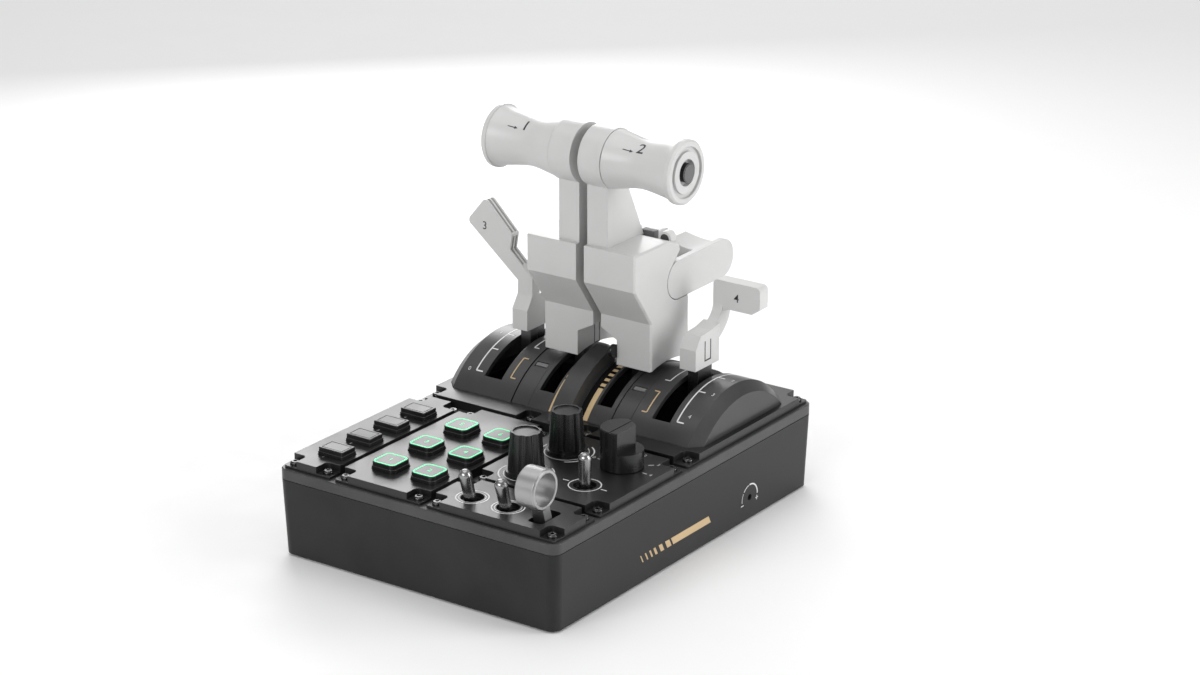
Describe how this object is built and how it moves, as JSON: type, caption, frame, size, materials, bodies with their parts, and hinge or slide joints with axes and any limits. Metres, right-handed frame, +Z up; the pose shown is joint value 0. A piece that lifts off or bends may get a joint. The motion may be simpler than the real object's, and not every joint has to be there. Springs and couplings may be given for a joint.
{
  "type": "throttle quadrant",
  "caption": "Desk throttle quadrant: throttles with waisted grips and reverse levers, speed brake and flaps levers on a slotted drum, behind key, toggle and knob panels.",
  "frame": {"origin": "centre of the bolt pattern in the underside, in the plane of the underside; the rubber feet stand just below it", "axes": "Right-handed, +Z up. X runs left to right along the front edge, Y runs from the front edge (pilot's side) to the back and is the longest side."},
  "size_m": [0.1944, 0.2581, 0.2275],
  "materials": {
    "board_green": "circuit board",
    "bracket_alloy": "bearing brackets",
    "bushing_metal": "threaded bushings",
    "button_grey": "mid grey push button",
    "cover_dark": "semi-gloss curved covers",
    "friction_pad": "friction discs",
    "handle_light": "satin light grey",
    "housing_dark": "satin dark grey moulding with a fine texture",
    "housing_rim": "satin dark grey moulding",
    "key_dark": "satin key caps",
    "knob_black": "satin black knobs",
    "panel_dark": "satin near-black faceplates",
    "ring_metal": "bead-blasted light metal",
    "rubber_black": "moulded feet",
    "screw_metal": "button-head screws",
    "steel_arm": "brushed lever arms",
    "toggle_metal": "polished gunmetal toggles"
  },
  "bodies": {
    "base": {"base_tub": "housing_dark", "rim_frame": "housing_rim", "bottom_plate": "housing_dark", "rubber_feet": "rubber_black", "cover_screws": "screw_metal", "left_key_panel": "panel_dark", "mode_key_panel": "panel_dark", "toggle_panel": "panel_dark", "knob_panel": "panel_dark", "quadrant_panel": "panel_dark", "arc_cover_left": "cover_dark", "arc_cover_middle": "cover_dark", "arc_cover_right": "cover_dark", "window_strip_left": "cover_dark", "window_strip_right": "cover_dark", "centre_rib": "cover_dark", "main_axle": "steel_arm", "axle_brackets": "bracket_alloy", "friction_discs": "friction_pad", "toggle_bushings": "bushing_metal", "switch_bodies": "key_dark", "control_board": "board_green", "usb_socket": "bushing_metal", "angle_sensors": "board_green"},
    "speed_brake": {"speed_brake_arm": "steel_arm", "speed_brake_handle": "handle_light"},
    "flaps": {"flaps_arm": "steel_arm", "flaps_handle": "handle_light"},
    "throttle_1": {"throttle_arm_1": "steel_arm", "throttle_head_1": "handle_light", "grip_1": "handle_light", "reverse_pin_1": "steel_arm"},
    "reverse_1": {"reverse_lever_1": "handle_light"},
    "disconnect_1": {"end_button_1": "button_grey"},
    "thumb_1": {"thumb_switch_1": "key_dark"},
    "throttle_2": {"throttle_arm_2": "steel_arm", "throttle_head_2": "handle_light", "grip_2": "handle_light", "reverse_pin_2": "steel_arm"},
    "reverse_2": {"reverse_lever_2": "handle_light"},
    "disconnect_2": {"end_button_2": "button_grey"},
    "thumb_2": {"thumb_switch_2": "key_dark"},
    "key_1": {"rectangular_key_1": "key_dark"},
    "key_2": {"rectangular_key_2": "key_dark"},
    "key_3": {"rectangular_key_3": "key_dark"},
    "key_4": {"rectangular_key_4": "key_dark"},
    "mode_key_1": {"mode_key_1": "key_dark"},
    "mode_key_2": {"mode_key_2": "key_dark"},
    "mode_key_3": {"mode_key_3": "key_dark"},
    "mode_key_4": {"mode_key_4": "key_dark"},
    "mode_key_5": {"mode_key_5": "key_dark"},
    "mode_key_6": {"mode_key_6": "key_dark"},
    "toggle_1": {"toggle_bat_1": "toggle_metal"},
    "toggle_2": {"toggle_bat_2": "toggle_metal"},
    "toggle_3": {"toggle_bat_3": "toggle_metal"},
    "gear": {"gear_lever": "ring_metal"},
    "encoder_1": {"encoder_knob_1": "knob_black"},
    "encoder_2": {"encoder_knob_2": "knob_black"},
    "selector": {"selector_knob": "knob_black"},
    "friction": {"friction_screw": "steel_arm"}
  },
  "joints": [
    {"name": "throttle_1_turn", "type": "hinge", "parent": "base", "child": "throttle_1", "pos_m": [-0.0201, 0.0625, 0.02], "axis": [1, 0, 0], "range_deg": [-33, 33]},
    {"name": "throttle_2_turn", "type": "hinge", "parent": "base", "child": "throttle_2", "pos_m": [0.0201, 0.0625, 0.02], "axis": [1, 0, 0], "range_deg": [-33, 33]},
    {"name": "speed_brake_turn", "type": "hinge", "parent": "base", "child": "speed_brake", "pos_m": [-0.059, 0.0625, 0.02], "axis": [1, 0, 0], "range_deg": [-33, 33]},
    {"name": "flaps_turn", "type": "hinge", "parent": "base", "child": "flaps", "pos_m": [0.059, 0.0625, 0.02], "axis": [1, 0, 0], "range_deg": [-33, 33]},
    {"name": "reverse_1_lift", "type": "hinge", "parent": "throttle_1", "child": "reverse_1", "pos_m": [-0.0356, 0.0725, 0.131], "axis": [1, 0, 0], "range_deg": [0, 40], "stiffness_Nm_per_rad": 0.12},
    {"name": "reverse_2_lift", "type": "hinge", "parent": "throttle_2", "child": "reverse_2", "pos_m": [0.0356, 0.0725, 0.131], "axis": [1, 0, 0], "range_deg": [0, 40], "stiffness_Nm_per_rad": 0.12},
    {"name": "disconnect_1_press", "type": "slide", "parent": "throttle_1", "child": "disconnect_1", "axis": [1, 0, 0], "range_m": [0, 0.002], "stiffness_N_per_m": 300},
    {"name": "thumb_1_press", "type": "slide", "parent": "throttle_1", "child": "thumb_1", "axis": [0, 0, -1], "range_m": [0, 0.0016], "stiffness_N_per_m": 300},
    {"name": "disconnect_2_press", "type": "slide", "parent": "throttle_2", "child": "disconnect_2", "axis": [-1, 0, 0], "range_m": [0, 0.002], "stiffness_N_per_m": 300},
    {"name": "thumb_2_press", "type": "slide", "parent": "throttle_2", "child": "thumb_2", "axis": [0, 0, -1], "range_m": [0, 0.0016], "stiffness_N_per_m": 300},
    {"name": "key_1_press", "type": "slide", "parent": "base", "child": "key_1", "axis": [0, 0, -1], "range_m": [0, 0.0012], "stiffness_N_per_m": 300},
    {"name": "key_2_press", "type": "slide", "parent": "base", "child": "key_2", "axis": [0, 0, -1], "range_m": [0, 0.0012], "stiffness_N_per_m": 300},
    {"name": "key_3_press", "type": "slide", "parent": "base", "child": "key_3", "axis": [0, 0, -1], "range_m": [0, 0.0012], "stiffness_N_per_m": 300},
    {"name": "key_4_press", "type": "slide", "parent": "base", "child": "key_4", "axis": [0, 0, -1], "range_m": [0, 0.0012], "stiffness_N_per_m": 300},
    {"name": "mode_key_1_press", "type": "slide", "parent": "base", "child": "mode_key_1", "axis": [0, 0, -1], "range_m": [0, 0.0012], "stiffness_N_per_m": 300},
    {"name": "mode_key_2_press", "type": "slide", "parent": "base", "child": "mode_key_2", "axis": [0, 0, -1], "range_m": [0, 0.0012], "stiffness_N_per_m": 300},
    {"name": "mode_key_3_press", "type": "slide", "parent": "base", "child": "mode_key_3", "axis": [0, 0, -1], "range_m": [0, 0.0012], "stiffness_N_per_m": 300},
    {"name": "mode_key_4_press", "type": "slide", "parent": "base", "child": "mode_key_4", "axis": [0, 0, -1], "range_m": [0, 0.0012], "stiffness_N_per_m": 300},
    {"name": "mode_key_5_press", "type": "slide", "parent": "base", "child": "mode_key_5", "axis": [0, 0, -1], "range_m": [0, 0.0012], "stiffness_N_per_m": 300},
    {"name": "mode_key_6_press", "type": "slide", "parent": "base", "child": "mode_key_6", "axis": [0, 0, -1], "range_m": [0, 0.0012], "stiffness_N_per_m": 300},
    {"name": "toggle_1_throw", "type": "hinge", "parent": "base", "child": "toggle_1", "pos_m": [0.0269, -0.1102, 0.05], "axis": [1, 0, 0], "range_deg": [-32, 0]},
    {"name": "toggle_2_throw", "type": "hinge", "parent": "base", "child": "toggle_2", "pos_m": [0.0509, -0.1102, 0.05], "axis": [1, 0, 0], "range_deg": [-32, 0]},
    {"name": "toggle_3_throw", "type": "hinge", "parent": "base", "child": "toggle_3", "pos_m": [0.0666, -0.0616, 0.05], "axis": [0, 1, 0], "range_deg": [-16, 16]},
    {"name": "gear_throw", "type": "hinge", "parent": "base", "child": "gear", "pos_m": [0.0745, -0.108, 0.044], "axis": [1, 0, 0], "range_deg": [-32, 0]},
    {"name": "encoder_1_turn", "type": "hinge", "parent": "base", "child": "encoder_1", "pos_m": [0.0304, -0.066, 0.057], "axis": [0, 0, 1], "continuous": true},
    {"name": "encoder_2_turn", "type": "hinge", "parent": "base", "child": "encoder_2", "pos_m": [0.0304, -0.028, 0.057], "axis": [0, 0, 1], "continuous": true},
    {"name": "selector_turn", "type": "hinge", "parent": "base", "child": "selector", "pos_m": [0.0678, -0.028, 0.057], "axis": [0, 0, 1], "range_deg": [-90, 90]},
    {"name": "friction_screw_turn", "type": "hinge", "parent": "base", "child": "friction", "pos_m": [0.08, 0.0625, 0.0133], "axis": [1, 0, 0], "continuous": true}
  ]
}
